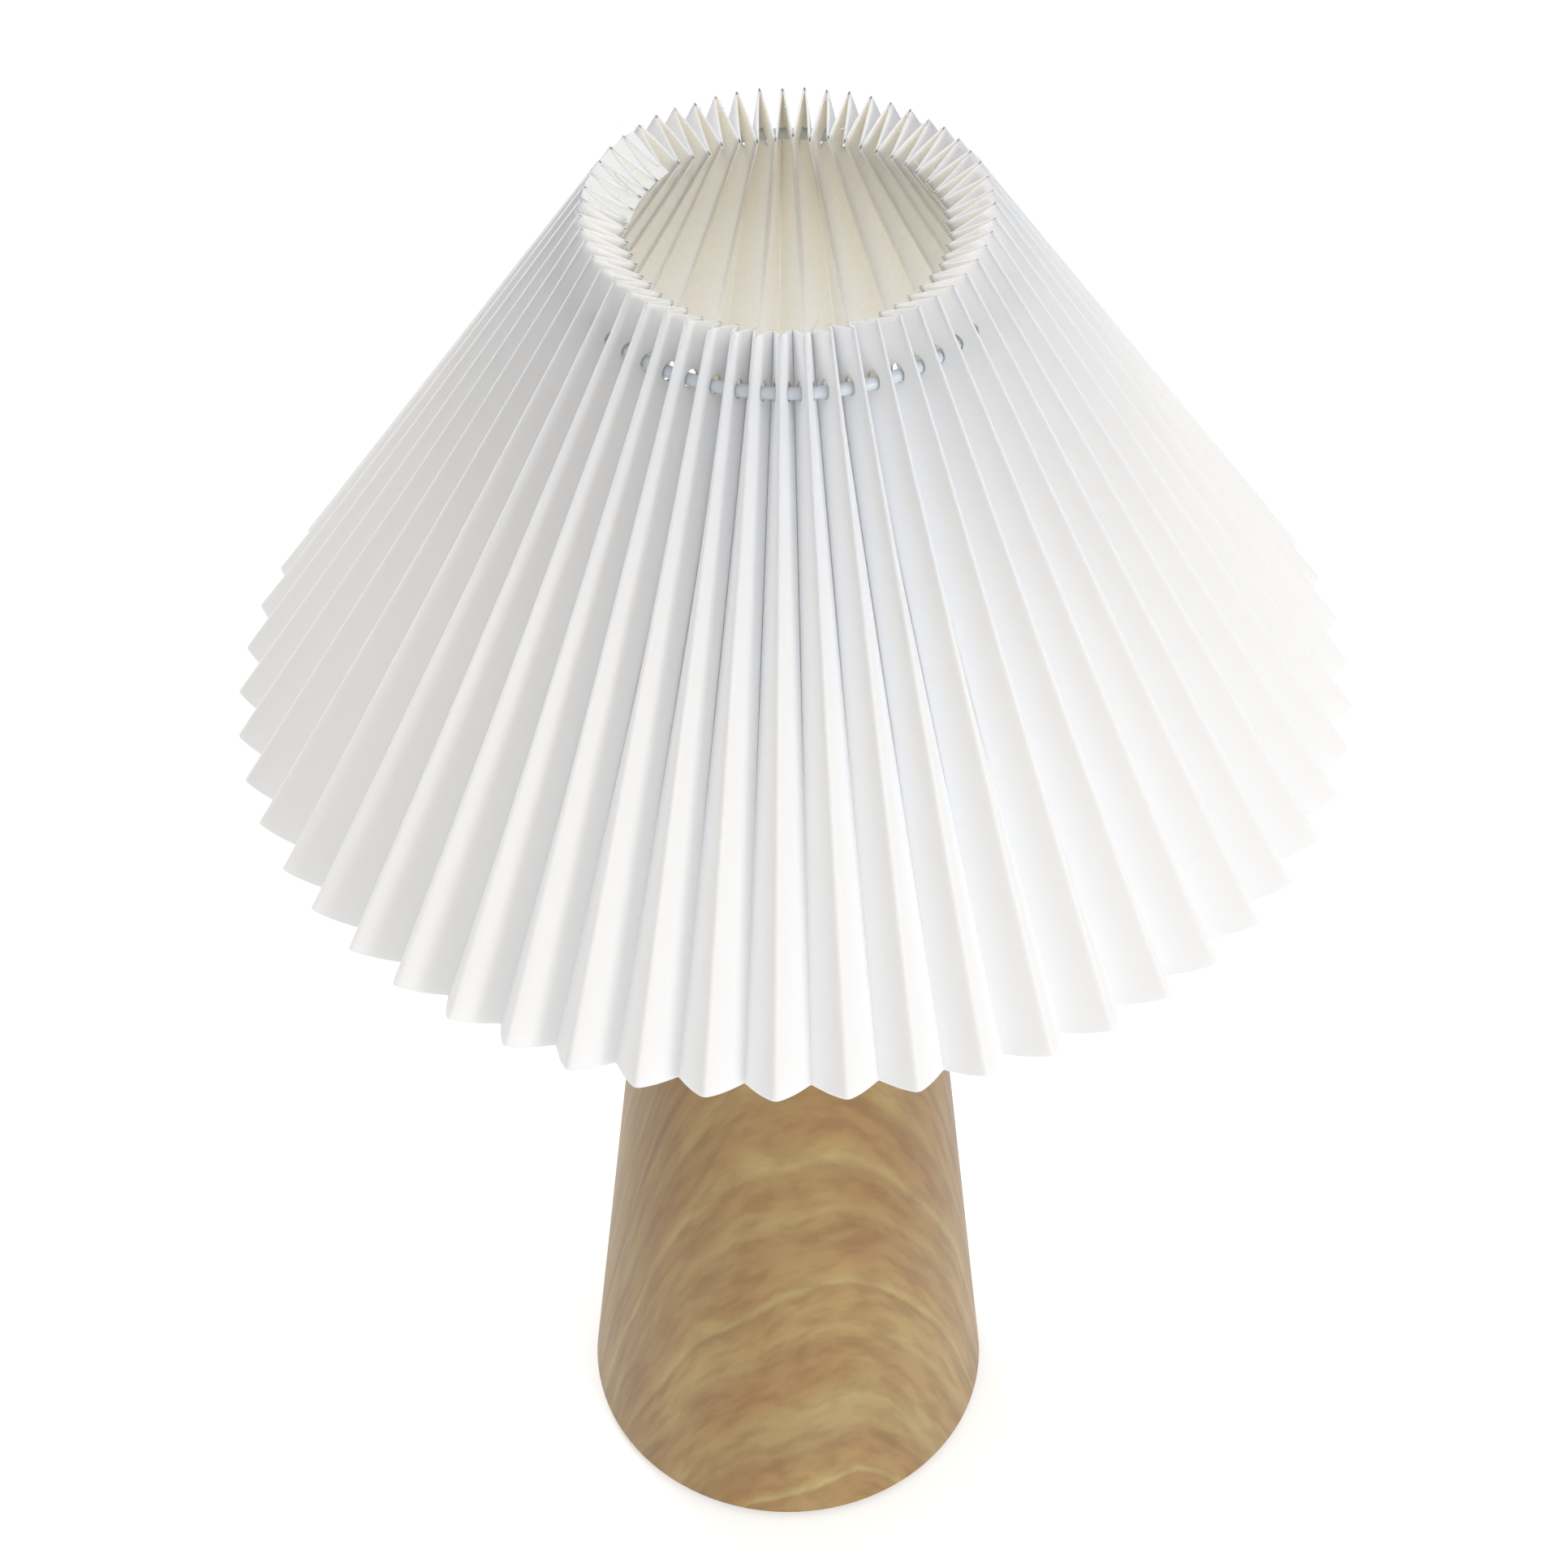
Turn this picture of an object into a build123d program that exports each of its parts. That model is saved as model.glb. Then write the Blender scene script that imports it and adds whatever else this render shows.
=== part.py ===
from build123d import *
import os
from math import atan2, cos, degrees, hypot, pi, radians, sin, sqrt

# Table lamp: a turned wooden base, an E27 lampholder with two collars, an LED bulb, and a
# pleated sheet shade whose folds are threaded on one wire ring that three arms hold up.
# Millimetres, +Z up, the lamp's axis on Z, the table top at z = 0, the front towards -Y.

os.makedirs("parts", exist_ok=True)

# ---------------------------------------------------------------- shade sheet and its wire ring
pleats = 55
shade_bottom_radius = 125.0
shade_bottom_height = 275.0
shade_top_radius = 41.2
shade_top_height = 401.0
top_pleat_depth = 9.6
top_pleat_drop = 6.3
bottom_pleat_depth = 4.2
bottom_pleat_rise = 1.4
sheet_thickness = 0.5
flap_levels = 4
front_fold_azimuth = -1.9
ring_drop = 11.7
ring_rod_radius = 1.25
ring_butt_gap = 0.3
wire_hole_clearance = 0.45
wire_hole_sides = 8
lap_start_share = 0.40
lap_end_share = 0.70
tape_thickness = 0.1
tape_clearance = 0.2
tape_overhang = 1.5

# ---------------------------------------------------------------- shade carrier
arm_count = 3
arm_radius = 1.25
arm_foot_length = 4.5
arm_elbow_radius = 3.0
blade_thickness = 0.8
blade_length = 18.0
blade_width = 5.0
blade_lip = 0.25
seat_clearance = 0.05
carrier_thickness = 1.5
carrier_margin = 6.2

# ---------------------------------------------------------------- wooden base
base_height = 213.0
base_bottom_radius = 55.2
base_top_radius = 33.0
base_foot_chamfer = 0.8
base_top_fillet = 2.5
felt_thickness = 2.0
felt_inset = 3.2
cover_thickness = 6.0
cover_radius = 43.5
cover_clearance = 0.4
cavity_radius = 34.0
cavity_depth = 18.0
cover_screw_count = 3
cover_screw_radius = 1.75
cover_screw_head_radius = 3.5
cover_screw_length = 18.0
cover_screw_azimuth = 30.0
pilot_tip_room = 1.0
screw_clearance = 0.25

# ---------------------------------------------------------------- cable inlet
inlet_bore_radius = 3.25
inlet_wall = 1.25
inlet_flange_radius = 6.5
inlet_flange_thickness = 2.0
inlet_flange_chamfer = 0.8
inlet_sleeve_length = 10.0
inlet_fit = 0.1
spot_face_depth = 1.6

# ---------------------------------------------------------------- threaded tube and its nuts
tube_radius = 5.0
tube_bore_radius = 3.6
tube_fit = 0.15
tube_tail = 3.0
nut_flats = 14.0
nut_height = 4.0
lower_washer_radius = 12.0
lower_washer_thickness = 2.0
upper_washer_radius = 15.0
upper_washer_thickness = 1.6

# ---------------------------------------------------------------- E27 lampholder
holder_boss_radius = 8.0
holder_boss_height = 5.0
holder_cap_height = 21.0
holder_cap_radius = 18.0
holder_flare_height = 6.0
holder_wall = 2.0
skirt_thread_radius = 19.75
skirt_grip_radius = 21.5
skirt_grip_height = 6.0
skirt_overlap = 3.0
skirt_fit = 0.15
skirt_lip = 1.5
mouth_height = 57.0
mouth_radius = 14.6
insert_height = 14.0
insert_cup_height = 5.4
insert_fit = 0.2
insert_step = 1.5
shell_radius = 13.85
shell_wall = 0.4
shell_height = 23.0
contact_width = 6.0
contact_thickness = 0.8
contact_rise = 2.4
contact_length = 16.0
terminal_screw_radius = 1.6
terminal_screw_depth = 5.0
terminal_spacing = 18.0

# ---------------------------------------------------------------- collars
collar_fit = 0.25
collar_height = 7.0
lower_collar_radius = 27.0
upper_collar_radius = 22.7
collar_flutes = 18
flute_radius = 0.9
collar_gap = 0.1
carrier_below_mouth = 11.5

# ---------------------------------------------------------------- LED bulb
bulb_length = 108.0
bulb_radius = 30.0
bulb_tip_clearance = 0.15
bulb_tip_radius = 4.5
bulb_tip_height = 1.5
bulb_tip_chamfer = 0.6
bulb_glass_height = 3.2
bulb_cap_radius = 13.2
bulb_cap_taper = 3.5
bulb_cap_height = 20.0
bulb_cap_wall = 0.5
bulb_neck_radius = 14.0
bulb_neck_height = 14.0
bulb_body_height = 40.0
bulb_shell_wall = 1.6
led_plate_thickness = 1.6
led_plate_clearance = 0.3

# ---------------------------------------------------------------- heights worked out from above
wood_bottom = felt_thickness
wood_top = wood_bottom + base_height
cavity_bottom = wood_bottom + cover_thickness
cavity_top = cavity_bottom + cavity_depth
upper_washer_top = wood_top + upper_washer_thickness
holder_bottom = upper_washer_top + nut_height
holder_cap_top = holder_bottom + holder_cap_height
mouth_top = holder_bottom + mouth_height
carrier_bottom = mouth_top - carrier_below_mouth
carrier_top = carrier_bottom + carrier_thickness
insert_bottom = holder_cap_top - collar_height
insert_floor = insert_bottom + insert_height
contact_top = insert_floor + contact_rise
bulb_bottom = contact_top + bulb_tip_clearance


def base_radius_at(height):
    """Radius of the wooden cone at a height above the table."""
    share = (height - wood_bottom) / base_height
    return base_bottom_radius + (base_top_radius - base_bottom_radius) * share


def save(piece, name):
    """Label a finished piece and write it as one STEP file."""
    piece.part.label = name
    export_step(piece.part, f"parts/{name}.step")


def plain_ring(outer, inner, bottom, height):
    """Flat washer or short tube about Z, added to the open part."""
    with BuildSketch(Plane.XY.offset(bottom)) as section:
        Circle(outer)
        Circle(inner, mode=Mode.SUBTRACT)
    extrude(section.sketch, amount=height)


# ================================================================ wooden base
with BuildPart() as wood_base:
    with BuildSketch(Plane.XZ):
        with BuildLine():
            Polyline(
                (0, wood_bottom),
                (base_bottom_radius, wood_bottom),
                (base_top_radius, wood_top),
                (0, wood_top),
                close=True,
            )
        make_face()
    revolve(axis=Axis.Z)
    rims = wood_base.edges().filter_by(GeomType.CIRCLE)
    chamfer(rims.sort_by(Axis.Z)[0], length=base_foot_chamfer)
    rims = wood_base.edges().filter_by(GeomType.CIRCLE)
    fillet(rims.sort_by(Axis.Z)[-1], radius=base_top_fillet)
    with BuildSketch(Plane.XY.offset(wood_bottom)):
        Circle(cover_radius + cover_clearance)
    extrude(amount=cover_thickness, mode=Mode.SUBTRACT)
    with BuildSketch(Plane.XY.offset(cavity_bottom)):
        Circle(cavity_radius)
    extrude(amount=cavity_depth, mode=Mode.SUBTRACT)
    with BuildSketch(Plane.XY.offset(cavity_top)):
        Circle(tube_radius + tube_fit)
    extrude(amount=wood_top - cavity_top, mode=Mode.SUBTRACT)

    # the cable's way in at the rear, with a flat face for the bush's flange
    inlet_height = (cavity_bottom + cavity_top) / 2
    inlet_seat = base_radius_at(inlet_height) - spot_face_depth
    inlet_sleeve_radius = inlet_bore_radius + inlet_wall
    with BuildSketch(Plane.XZ.offset(-inlet_seat)):
        with Locations((0, inlet_height)):
            Circle(inlet_flange_radius + inlet_fit)
    extrude(amount=-base_bottom_radius, mode=Mode.SUBTRACT)
    with BuildSketch(Plane.XZ):
        with Locations((0, inlet_height)):
            Circle(inlet_sleeve_radius + inlet_fit)
    extrude(amount=-base_bottom_radius, mode=Mode.SUBTRACT)

    # pilot holes for the screws of the bottom cover
    screw_circle = (cover_radius + cavity_radius) / 2
    screw_places = PolarLocations(screw_circle, cover_screw_count, cover_screw_azimuth)
    with BuildSketch(Plane.XY.offset(cavity_bottom)):
        with Locations(*screw_places):
            Circle(cover_screw_radius)
    pilot_depth = cover_screw_length - cover_thickness + pilot_tip_room
    extrude(amount=pilot_depth, mode=Mode.SUBTRACT)
save(wood_base, "wood_base")

with BuildPart() as bottom_cover:
    with BuildSketch(Plane.XY.offset(wood_bottom)):
        Circle(cover_radius)
    extrude(amount=cover_thickness)
    with BuildSketch(Plane.XY.offset(wood_bottom)):
        with Locations(*screw_places):
            Circle(cover_screw_radius + screw_clearance)
    extrude(amount=cover_thickness, mode=Mode.SUBTRACT)
    countersinks = bottom_cover.edges().filter_by(GeomType.CIRCLE).group_by(Axis.Z)[0]
    sink_depth = cover_screw_head_radius - cover_screw_radius
    chamfer(countersinks.sort_by(SortBy.RADIUS)[:cover_screw_count], length=sink_depth)
save(bottom_cover, "bottom_cover")

with BuildPart() as cover_screws:
    head_depth = cover_screw_head_radius - cover_screw_radius
    with Locations((0, 0, wood_bottom)):
        with Locations(*screw_places):
            Cone(
                cover_screw_head_radius,
                cover_screw_radius,
                head_depth,
                align=(Align.CENTER, Align.CENTER, Align.MIN),
            )
            Cylinder(
                cover_screw_radius,
                cover_screw_length,
                align=(Align.CENTER, Align.CENTER, Align.MIN),
            )
save(cover_screws, "cover_screws")

with BuildPart() as felt_pad:
    with BuildSketch():
        Circle(base_bottom_radius - felt_inset)
    extrude(amount=felt_thickness)
save(felt_pad, "felt_pad")

with BuildPart() as cable_bush:
    with BuildSketch(Plane.XZ.offset(-inlet_seat)):
        with Locations((0, inlet_height)):
            Circle(inlet_flange_radius)
    extrude(amount=-inlet_flange_thickness)
    outer_rim = cable_bush.faces().sort_by(Axis.Y)[-1].edges()
    chamfer(outer_rim, length=inlet_flange_chamfer)
    with BuildSketch(Plane.XZ.offset(-inlet_seat)):
        with Locations((0, inlet_height)):
            Circle(inlet_sleeve_radius)
    extrude(amount=inlet_sleeve_length)
    with BuildSketch(Plane.XZ):
        with Locations((0, inlet_height)):
            Circle(inlet_bore_radius)
    extrude(amount=-2 * base_bottom_radius, mode=Mode.SUBTRACT)
save(cable_bush, "cable_bush")

# ================================================================ tube, washers and nuts
lower_nut_bottom = cavity_top - lower_washer_thickness - nut_height
tube_bottom = lower_nut_bottom - tube_tail
tube_top = holder_bottom + holder_boss_height

with BuildPart() as threaded_tube:
    plain_ring(tube_radius, tube_bore_radius, tube_bottom, tube_top - tube_bottom)
save(threaded_tube, "threaded_tube")

with BuildPart() as lower_washer:
    bottom = cavity_top - lower_washer_thickness
    plain_ring(lower_washer_radius, tube_radius + tube_fit, bottom, lower_washer_thickness)
save(lower_washer, "lower_washer")

with BuildPart() as upper_washer:
    plain_ring(upper_washer_radius, tube_radius + tube_fit, wood_top, upper_washer_thickness)
save(upper_washer, "upper_washer")

for nut_name, nut_bottom in (("lower_nut", lower_nut_bottom), ("upper_nut", upper_washer_top)):
    with BuildPart() as nut:
        with BuildSketch(Plane.XY.offset(nut_bottom)):
            RegularPolygon(nut_flats / 2, 6, major_radius=False)
            Circle(tube_radius + tube_fit, mode=Mode.SUBTRACT)
        extrude(amount=nut_height)
    save(nut, nut_name)

# ================================================================ lampholder
flare_bottom = holder_bottom + holder_boss_height
flare_top = flare_bottom + holder_flare_height
cap_bore = holder_cap_radius - holder_wall
insert_radius = cap_bore - insert_fit

with BuildPart() as holder_cap:
    with BuildSketch(Plane.XZ):
        with BuildLine():
            Polyline(
                (tube_radius + tube_fit, holder_bottom),
                (holder_boss_radius, holder_bottom),
                (holder_boss_radius, flare_bottom),
                (holder_cap_radius, flare_top),
                (holder_cap_radius, holder_cap_top),
                (cap_bore, holder_cap_top),
                (cap_bore, insert_bottom),
                (cap_bore - insert_step, insert_bottom),
                (cap_bore - insert_step, flare_top + holder_wall / 2),
                (holder_boss_radius, flare_bottom + holder_wall),
                (tube_radius + tube_fit, flare_bottom + holder_wall),
                close=True,
            )
        make_face()
    revolve(axis=Axis.Z)
save(holder_cap, "holder_cap")

skirt_bottom = holder_cap_top - skirt_overlap
grip_top = skirt_bottom + skirt_grip_height
skirt_bore = holder_cap_radius + skirt_fit

with BuildPart() as holder_skirt:
    with BuildSketch(Plane.XZ):
        with BuildLine():
            Polyline(
                (skirt_bore, skirt_bottom),
                (skirt_grip_radius, skirt_bottom),
                (skirt_grip_radius, grip_top),
                (skirt_thread_radius, grip_top),
                (skirt_thread_radius, mouth_top),
                (mouth_radius, mouth_top),
                (mouth_radius, mouth_top - skirt_lip),
                (skirt_thread_radius - holder_wall, mouth_top - skirt_lip),
                (skirt_thread_radius - holder_wall, holder_cap_top),
                (skirt_bore, holder_cap_top),
                close=True,
            )
        make_face()
    revolve(axis=Axis.Z)
save(holder_skirt, "holder_skirt")

with BuildPart() as holder_insert:
    with BuildSketch(Plane.XZ):
        with BuildLine():
            Polyline(
                (0, insert_bottom),
                (insert_radius, insert_bottom),
                (insert_radius, insert_floor + insert_cup_height),
                (shell_radius, insert_floor + insert_cup_height),
                (shell_radius, insert_floor),
                (0, insert_floor),
                close=True,
            )
        make_face()
    revolve(axis=Axis.Z)
    with BuildSketch(Plane.XY.offset(insert_bottom)):
        with GridLocations(terminal_spacing, 1, 2, 1):
            Circle(terminal_screw_radius)
    extrude(amount=terminal_screw_depth, mode=Mode.SUBTRACT)
save(holder_insert, "holder_insert")

with BuildPart() as terminal_screws:
    with BuildSketch(Plane.XY.offset(insert_bottom)):
        with GridLocations(terminal_spacing, 1, 2, 1):
            Circle(terminal_screw_radius)
    extrude(amount=terminal_screw_depth)
    with BuildSketch(Plane.XY.offset(insert_bottom)):
        with GridLocations(terminal_spacing, 1, 2, 1):
            Circle(1.6 * terminal_screw_radius)
            Rectangle(terminal_screw_radius / 2, 4 * terminal_screw_radius, mode=Mode.SUBTRACT)
    extrude(amount=-terminal_screw_radius)
save(terminal_screws, "terminal_screws")

with BuildPart() as screw_shell:
    plain_ring(shell_radius, shell_radius - shell_wall, insert_floor, shell_height)
save(screw_shell, "screw_shell")

with BuildPart() as centre_contact:
    with BuildSketch(Plane.XZ):
        with BuildLine():
            spring = Polyline(
                (contact_length / 2, insert_floor + contact_thickness / 2),
                (contact_length / 6, insert_floor + contact_thickness / 2),
                (-contact_length / 6, contact_top - contact_thickness / 2),
                (contact_length / 8, contact_top - contact_thickness / 2),
            )
            offset(spring, amount=contact_thickness / 2, side=Side.BOTH)
        make_face()
    extrude(amount=contact_width / 2, both=True)
save(centre_contact, "centre_contact")

# ================================================================ collars
collar_bore = skirt_thread_radius + collar_fit
collars = (
    ("lower_collar", lower_collar_radius, carrier_bottom - collar_height),
    ("upper_collar", upper_collar_radius, carrier_top + collar_gap),
)
for collar_name, collar_radius, collar_bottom in collars:
    with BuildPart() as collar:
        plain_ring(collar_radius, collar_bore, collar_bottom, collar_height)
        with BuildSketch(Plane.XY.offset(collar_bottom)):
            with PolarLocations(collar_radius, collar_flutes):
                RegularPolygon(flute_radius, 4)
        extrude(amount=collar_height, mode=Mode.SUBTRACT)
    save(collar, collar_name)

# ================================================================ LED bulb
cap_bottom = bulb_bottom + bulb_tip_height + bulb_glass_height
cap_top = cap_bottom + bulb_cap_height
body_top = cap_top + bulb_body_height
bulb_top = bulb_bottom + bulb_length
dome_centre = bulb_top - bulb_radius
dome_rise = dome_centre - body_top
dome_start = sqrt(bulb_radius**2 - dome_rise**2)
glass_radius = bulb_cap_radius - bulb_cap_taper

with BuildPart() as bulb_contact:
    with BuildSketch(Plane.XY.offset(bulb_bottom)):
        Circle(bulb_tip_radius)
    extrude(amount=bulb_tip_height)
    chamfer(bulb_contact.edges().sort_by(Axis.Z)[0], length=bulb_tip_chamfer)
save(bulb_contact, "bulb_contact")

with BuildPart() as bulb_glass:
    with BuildSketch(Plane.XY.offset(bulb_bottom + bulb_tip_height)):
        Circle(bulb_tip_radius)
    with BuildSketch(Plane.XY.offset(cap_bottom)):
        Circle(glass_radius)
    loft()
save(bulb_glass, "bulb_glass")

with BuildPart() as bulb_cap:
    taper_top = cap_bottom + bulb_cap_taper
    with BuildSketch(Plane.XZ):
        with BuildLine():
            Polyline(
                (0, cap_bottom),
                (glass_radius, cap_bottom),
                (bulb_cap_radius, taper_top),
                (bulb_cap_radius, cap_top),
                (bulb_cap_radius - bulb_cap_wall, cap_top),
                (bulb_cap_radius - bulb_cap_wall, taper_top),
                (glass_radius - bulb_cap_wall, cap_bottom + bulb_cap_wall),
                (0, cap_bottom + bulb_cap_wall),
                close=True,
            )
        make_face()
    revolve(axis=Axis.Z)
save(bulb_cap, "bulb_cap")

with BuildPart() as bulb_body:
    neck_top = cap_top + bulb_neck_height
    with BuildSketch(Plane.XZ):
        with BuildLine():
            Polyline(
                (bulb_neck_radius, cap_top),
                (bulb_neck_radius, neck_top),
                (dome_start, body_top),
                (dome_start - bulb_shell_wall, body_top),
                (bulb_neck_radius - bulb_shell_wall, neck_top),
                (bulb_neck_radius - bulb_shell_wall, cap_top),
                close=True,
            )
        make_face()
    revolve(axis=Axis.Z)
save(bulb_body, "bulb_body")

with BuildPart() as bulb_diffuser:
    with BuildSketch(Plane.XZ):
        with Locations((0, dome_centre)):
            Circle(bulb_radius)
            Circle(bulb_radius - bulb_shell_wall, mode=Mode.SUBTRACT)
        with Locations((0, body_top)):
            Rectangle(bulb_radius, bulb_length, align=(Align.MIN, Align.MIN), mode=Mode.INTERSECT)
    revolve(axis=Axis.Z)
save(bulb_diffuser, "bulb_diffuser")

with BuildPart() as led_plate:
    with BuildSketch(Plane.XY.offset(body_top)):
        Circle(dome_start - bulb_shell_wall - led_plate_clearance)
    extrude(amount=led_plate_thickness)
save(led_plate, "led_plate")

# ================================================================ pleated sheet
# Fold 0 is an outer fold, fold 1 the inner fold beside it, and so on round the shade. Along a
# fold, level 0 is the bottom rim and the last level the top rim. Each fold line is straight, so
# a flap between two fold lines twists, and is built of flat triangles.
half_pitch = pi / pleats
outer_bottom = (shade_bottom_radius, shade_bottom_height)
outer_top = (shade_top_radius, shade_top_height)
inner_bottom = (shade_bottom_radius - bottom_pleat_depth, shade_bottom_height + bottom_pleat_rise)
inner_top = (shade_top_radius - top_pleat_depth, shade_top_height - top_pleat_drop)
slant_length = hypot(outer_top[0] - outer_bottom[0], outer_top[1] - outer_bottom[1])

arm_pleats = [round(index * pleats / arm_count) for index in range(arm_count)]
seam_pleat = arm_pleats[-1] + 1


def between(start, end, share):
    """Point a share of the way from start to end, in any number of axes."""
    return tuple(a + (b - a) * share for a, b in zip(start, end))


def fold_azimuth(pleat):
    """Azimuth of an outer fold, in radians from the front towards +X."""
    return radians(front_fold_azimuth) + 2 * half_pitch * pleat


def in_space(radius, height, azimuth):
    """Point at a radius and height, turned from the front by an azimuth."""
    return (radius * sin(azimuth), -radius * cos(azimuth), height)


def pleat_section(share):
    """Outer and inner fold points, depth and flap angle, at a share of the way up the sheet."""
    outer = between(outer_bottom, outer_top, share)
    inner = between(inner_bottom, inner_top, share)
    depth = hypot(outer[0] - inner[0], outer[1] - inner[1])
    flap_angle = atan2(half_pitch * (outer[0] + inner[0]) / 2, depth)
    return outer, inner, depth, flap_angle


def fold_skins(fold, share, turn=0.0):
    """The two faces of the sheet, outside first, at one fold and one share of the height."""
    outer, inner, depth, flap_angle = pleat_section(share)
    mitre = sheet_thickness / sin(flap_angle) / depth
    if fold % 2 == 0:
        skins = (outer, between(outer, inner, mitre))
    else:
        skins = (between(inner, outer, mitre), inner)
    azimuth = fold_azimuth(seam_pleat) + half_pitch * fold + turn
    return [in_space(radius, height, azimuth) for radius, height in skins]


def lap_turn(share):
    """Turn that moves the first flap inside the last one, with room for the tape."""
    outer, inner, depth, flap_angle = pleat_section(share)
    shift = sheet_thickness + tape_thickness + 2 * tape_clearance
    return -2 * shift / cos(flap_angle) / (outer[0] + inner[0])


def fold_line(fold, turned=False):
    """Both faces of the sheet at every level of one fold."""
    shares = [level / flap_levels for level in range(flap_levels + 1)]
    return [fold_skins(fold, share, lap_turn(share) if turned else 0.0) for share in shares]


def cut_edge(line, other, share):
    """Free edge of the sheet, a share of the way from one fold line to the other."""
    return [
        [between(a, b, share) for a, b in zip(skins, others)] for skins, others in zip(line, other)
    ]


def two_triangles(a, b, c, d):
    """Two flat faces that fill the corners a, b, c, d, split from a to c."""
    corners = ((a, b, c), (a, c, d))
    return [Face(Wire.make_polygon(points, close=True)) for points in corners]


def bottom_radius(line):
    """Distance of a line's foot from the axis."""
    return hypot(*line[0][0][:2])


def sheet_solid(lines):
    """Solid sheet through fold lines: both faces, both rims and both free edges."""
    faces = []
    for pair in zip(lines, lines[1:]):
        line, other = sorted(pair, key=bottom_radius, reverse=True)
        for low, high in zip(range(len(line) - 1), range(1, len(line))):
            for skin in (0, 1):
                corners = (other[low][skin], other[high][skin], line[high][skin], line[low][skin])
                faces += two_triangles(*corners)
        for rim in (0, -1):
            faces += two_triangles(*line[rim], *reversed(other[rim]))
    for line in (lines[0], lines[-1]):
        for low, high in zip(line, line[1:]):
            faces += two_triangles(*low, *reversed(high))
    return Solid(Shell(faces))


lap_first = [fold_line(0, turned=True), fold_line(1, turned=True)]
lap_last = [fold_line(2 * pleats), fold_line(2 * pleats + 1)]
lap_shares = (lap_start_share, lap_end_share)
sheet_lines = [cut_edge(*lap_first, share) for share in lap_shares] + [lap_first[1]]
sheet_lines += [fold_line(fold) for fold in range(2, 2 * pleats)]
sheet_lines += [lap_last[0]] + [cut_edge(*lap_last, share) for share in lap_shares]

ring_share = 1 - ring_drop / slant_length
ring_outer, ring_inner, ring_depth, ring_flap_angle = pleat_section(ring_share)
ring_radius, ring_height = between(ring_outer, ring_inner, 0.5)
wire_hole_radius = ring_rod_radius + wire_hole_clearance
flap_spacing = half_pitch * ring_radius
punch_length = 0.9 * flap_spacing

with BuildPart() as wire_punch:
    with BuildSketch(Plane.XZ):
        with Locations((ring_radius, ring_height)):
            RegularPolygon(wire_hole_radius, wire_hole_sides)
    extrude(amount=punch_length / 2, both=True)

flap_azimuth = fold_azimuth(seam_pleat) + half_pitch / 2


def punch_place(flap, turned):
    """Place of one hole: its flap, and how much of the lap's turn it takes."""
    azimuth = flap_azimuth + flap * half_pitch + turned * lap_turn(ring_share)
    return Location((0, 0, 0), (0, 0, degrees(azimuth) - 90))


with BuildPart() as pleated_shade:
    add(sheet_solid(sheet_lines))
    with Locations(*[punch_place(flap, 0.0) for flap in range(2 * pleats)]):
        add(wire_punch.part, mode=Mode.SUBTRACT)
    # the first flap is turned inside the lap, and the flap beside it takes half that turn
    with Locations(punch_place(0, 1.0)):
        add(wire_punch.part, mode=Mode.SUBTRACT)
    with Locations(punch_place(1, 0.5)):
        add(wire_punch.part, mode=Mode.SUBTRACT)
save(pleated_shade, "pleated_shade")


def tape_edge(share):
    """Edge of the tape that joins the lap, in the gap between the two flaps."""
    near = cut_edge(*lap_last, share)
    far = cut_edge(*lap_first, share)
    room = 2 * tape_clearance + tape_thickness
    sides = (tape_clearance / room, 1 - tape_clearance / room)
    return [[between(a[1], b[0], side) for side in sides] for a, b in zip(near, far)]


def with_overhang(edge):
    """The same edge, run past the top rim by the overhang."""
    low, high = edge[-2], edge[-1]
    share = 1 + tape_overhang * flap_levels / slant_length
    return edge[:-1] + [[between(a, b, share) for a, b in zip(low, high)]]


tape_lines = [with_overhang(tape_edge(share)) for share in lap_shares]
with BuildPart() as seam_tape:
    add(sheet_solid(tape_lines))
    with Locations(punch_place(0, 0.5)):
        add(wire_punch.part, mode=Mode.SUBTRACT)
save(seam_tape, "seam_tape")

# ================================================================ wire ring and carrier
with BuildPart() as shade_ring:
    butt_angle = ring_butt_gap / ring_radius * 180 / pi
    with BuildSketch(Plane.XZ):
        with Locations((ring_radius, ring_height)):
            Circle(ring_rod_radius)
    revolve(axis=Axis.Z, revolution_arc=360 - butt_angle)
save(shade_ring, "shade_ring")

carrier_bore = collar_bore + 2 * collar_fit
carrier_radius = upper_collar_radius + carrier_margin

with BuildPart() as carrier_ring:
    plain_ring(carrier_radius, carrier_bore, carrier_bottom, carrier_thickness)
save(carrier_ring, "carrier_ring")

# An arm in the radial plane: a foot welded on the carrier, a steep rod, and an end pressed flat
# to a blade that reaches between two flaps and holds the ring in a shallow seat.
foot_start = carrier_radius - arm_foot_length
foot_height = carrier_top + arm_radius - 2 * seat_clearance
seat_radius = ring_rod_radius + seat_clearance
lip_radius = ring_radius + seat_radius + blade_lip
blade_top = ring_height + seat_radius + blade_lip
blade_root = ring_height - blade_length
rod_top = (ring_inner[0] + blade_width / 4 - arm_radius, blade_root)

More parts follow.
